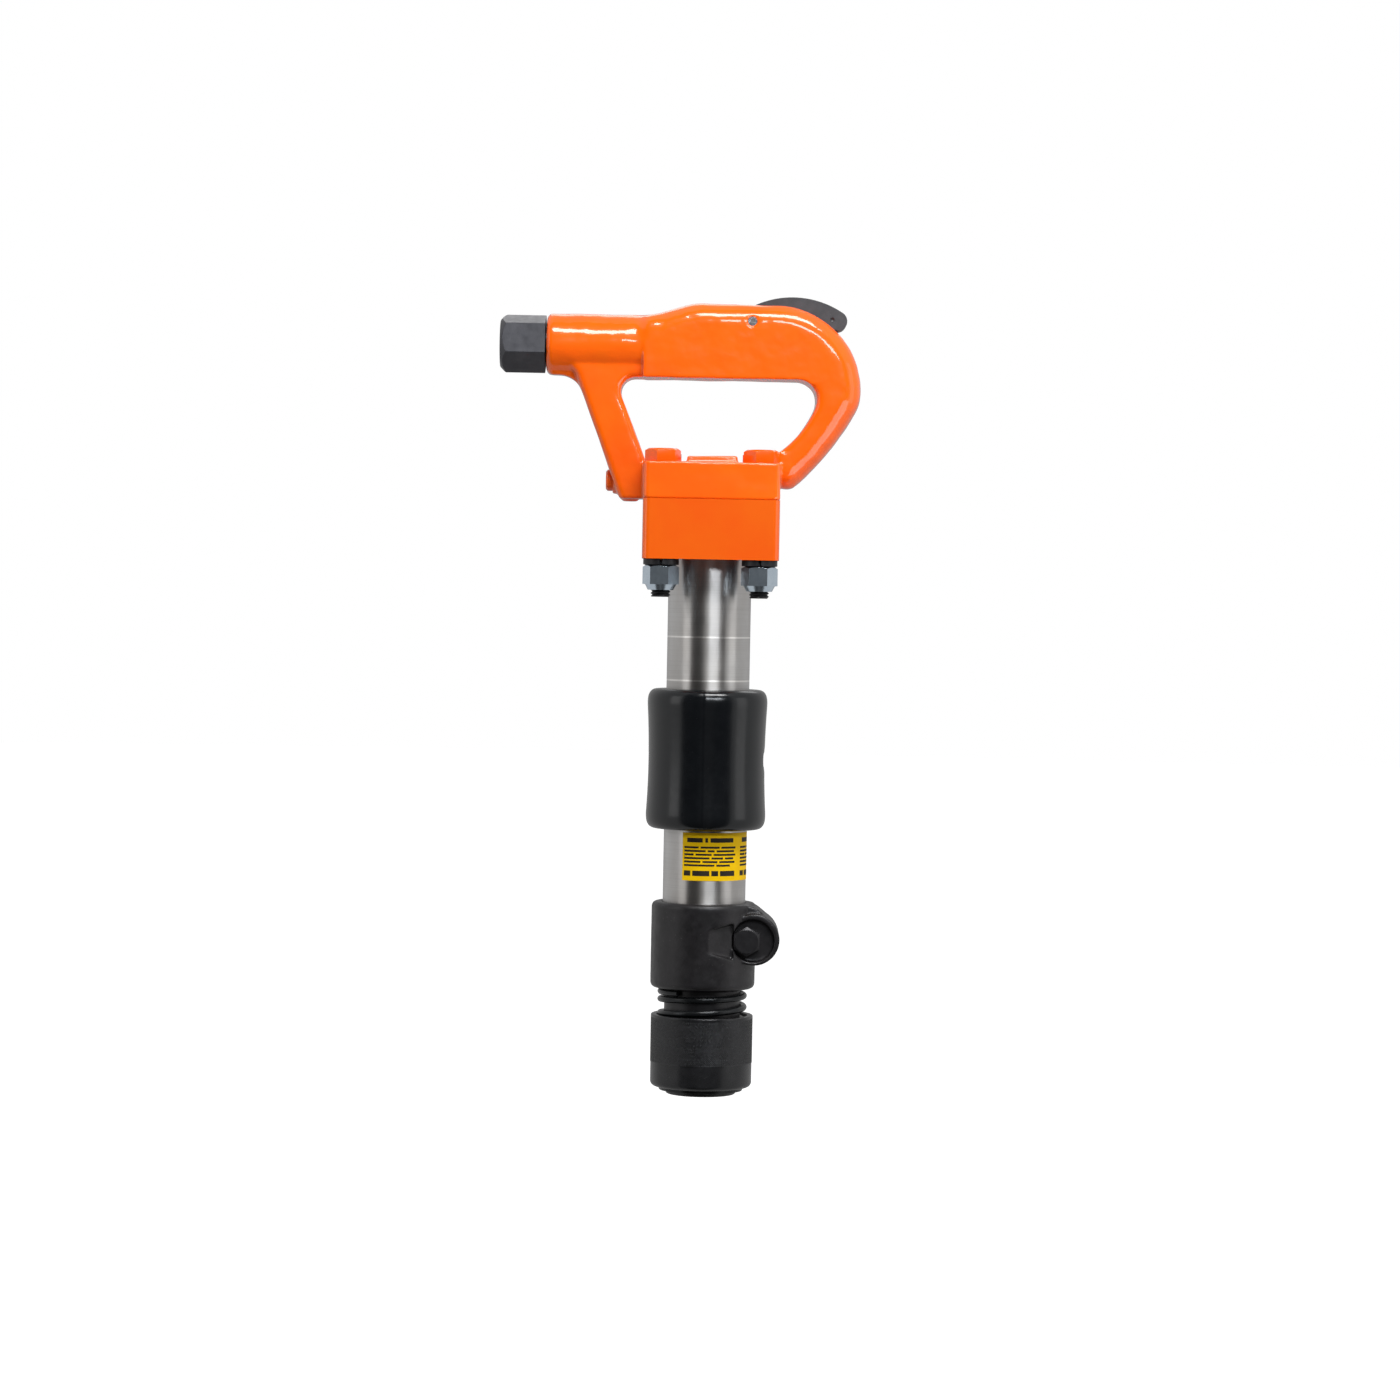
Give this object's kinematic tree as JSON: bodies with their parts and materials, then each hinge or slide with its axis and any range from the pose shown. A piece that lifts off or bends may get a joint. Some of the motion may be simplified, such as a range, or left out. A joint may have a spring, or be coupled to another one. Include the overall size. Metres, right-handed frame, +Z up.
{
  "type": "pneumatic chipping hammer",
  "caption": "Compressed-air chipping hammer: D-handle with thumb lever, bolted flange, steel barrel with rubber grip, and a spring-loaded chisel retainer.",
  "frame": {"origin": "centre of the nose bore at the nose's end face", "axes": "+Z up along the barrel to the handle; +X to the thumb lever's end; -X to the air inlet; -Y is the front"},
  "size_m": [0.1998, 0.075, 0.4423],
  "materials": {
    "orange_enamel": "gloss enamel on a casting",
    "black_steel": "satin black oxide",
    "brass_mesh": "fine mesh",
    "pin_steel": "plain",
    "lever_steel": "satin black",
    "brass_seat": "turned",
    "seal_rubber": "matte",
    "valve_steel": "ground",
    "spring_steel": "drawn wire",
    "bolt_steel": "orange heads, black threads",
    "black_washer": "black oxide",
    "zinc_plate": "bright zinc plate",
    "ground_steel": "ground and oiled",
    "piston_steel": "ground",
    "grip_rubber": "semi-gloss moulded",
    "label_vinyl": "printed vinyl",
    "bushing_steel": "hardened",
    "black_phosphate": "oiled black phosphate",
    "black_oxide": "black oxide",
    "black_spring": "oiled black wire",
    "sleeve_phosphate": "knurled, oiled black phosphate",
    "ball_steel": "polished"
  },
  "bodies": {
    "root": {"handle": "orange_enamel", "oil_plug": "orange_enamel", "inlet_bushing": "black_steel", "inlet_screen": "brass_mesh", "lever_pin": "pin_steel", "throttle_seat_bushing": "brass_seat", "throttle_bushing_oring": "seal_rubber", "throttle_spring": "spring_steel", "flange_bolts": "bolt_steel", "flange_lock_washers": "black_washer", "flange_nuts": "zinc_plate", "valve_box_upper": "valve_steel", "valve_box_lower": "valve_steel", "valve_box_dowel": "pin_steel", "barrel": "ground_steel", "barrel_grip": "grip_rubber", "warning_label": "label_vinyl", "shank_bushing": "bushing_steel", "retainer_body": "black_phosphate", "retainer_bolt": "black_oxide", "retainer_washer": "black_washer", "retainer_nut": "black_oxide", "retainer_spring": "black_spring", "snap_ring": "black_spring", "sleeve_stop_washer": "black_washer"},
    "lever": {"throttle_lever": "lever_steel"},
    "throttle_valve": {"throttle_valve": "valve_steel"},
    "shuttle_valve": {"shuttle_valve": "valve_steel"},
    "piston": {"piston": "piston_steel"},
    "sleeve": {"retainer_sleeve": "sleeve_phosphate"},
    "ball_1": {"retaining_ball_1": "ball_steel"},
    "ball_2": {"retaining_ball_2": "ball_steel"},
    "ball_3": {"retaining_ball_3": "ball_steel"}
  },
  "joints": [
    {"name": "lever_hinge", "type": "hinge", "parent": "root", "child": "lever", "pos_m": [0.0208, 0, 0.4281], "axis": [0, 1, 0], "range_deg": [0, 5.5], "stiffness_Nm_per_rad": 1.5, "springref_deg": -8.59},
    {"name": "throttle_valve_slide", "type": "slide", "parent": "root", "child": "throttle_valve", "axis": [0, 0, -1], "range_m": [0, 0.0025], "deforming": ["throttle_spring"]},
    {"name": "piston_slide", "type": "slide", "parent": "root", "child": "piston", "axis": [0, 0, 1], "range_m": [0, 0.1016]},
    {"name": "shuttle_valve_slide", "type": "slide", "parent": "root", "child": "shuttle_valve", "axis": [0, 0, 1], "range_m": [0, 0.003]},
    {"name": "sleeve_slide", "type": "slide", "parent": "root", "child": "sleeve", "axis": [0, 0, 1], "range_m": [0, 0.009], "stiffness_N_per_m": 2500, "springref_m": -0.012, "deforming": ["retainer_spring"]},
    {"name": "ball_1_slide", "type": "slide", "parent": "root", "child": "ball_1", "axis": [0, 1, 0], "range_m": [0, 0.0034]},
    {"name": "ball_2_slide", "type": "slide", "parent": "root", "child": "ball_2", "axis": [-0.866, -0.5, 0], "range_m": [0, 0.0034]},
    {"name": "ball_3_slide", "type": "slide", "parent": "root", "child": "ball_3", "axis": [0.866, -0.5, 0], "range_m": [0, 0.0034]}
  ],
  "couplings": [
    {"joint": "throttle_valve_slide", "follows": "lever_hinge", "m_per_rad": 0.0252},
    {"joint": "ball_1_slide", "follows": "sleeve_slide", "ratio": 0.36667},
    {"joint": "ball_2_slide", "follows": "sleeve_slide", "ratio": 0.36667},
    {"joint": "ball_3_slide", "follows": "sleeve_slide", "ratio": 0.36667}
  ]
}
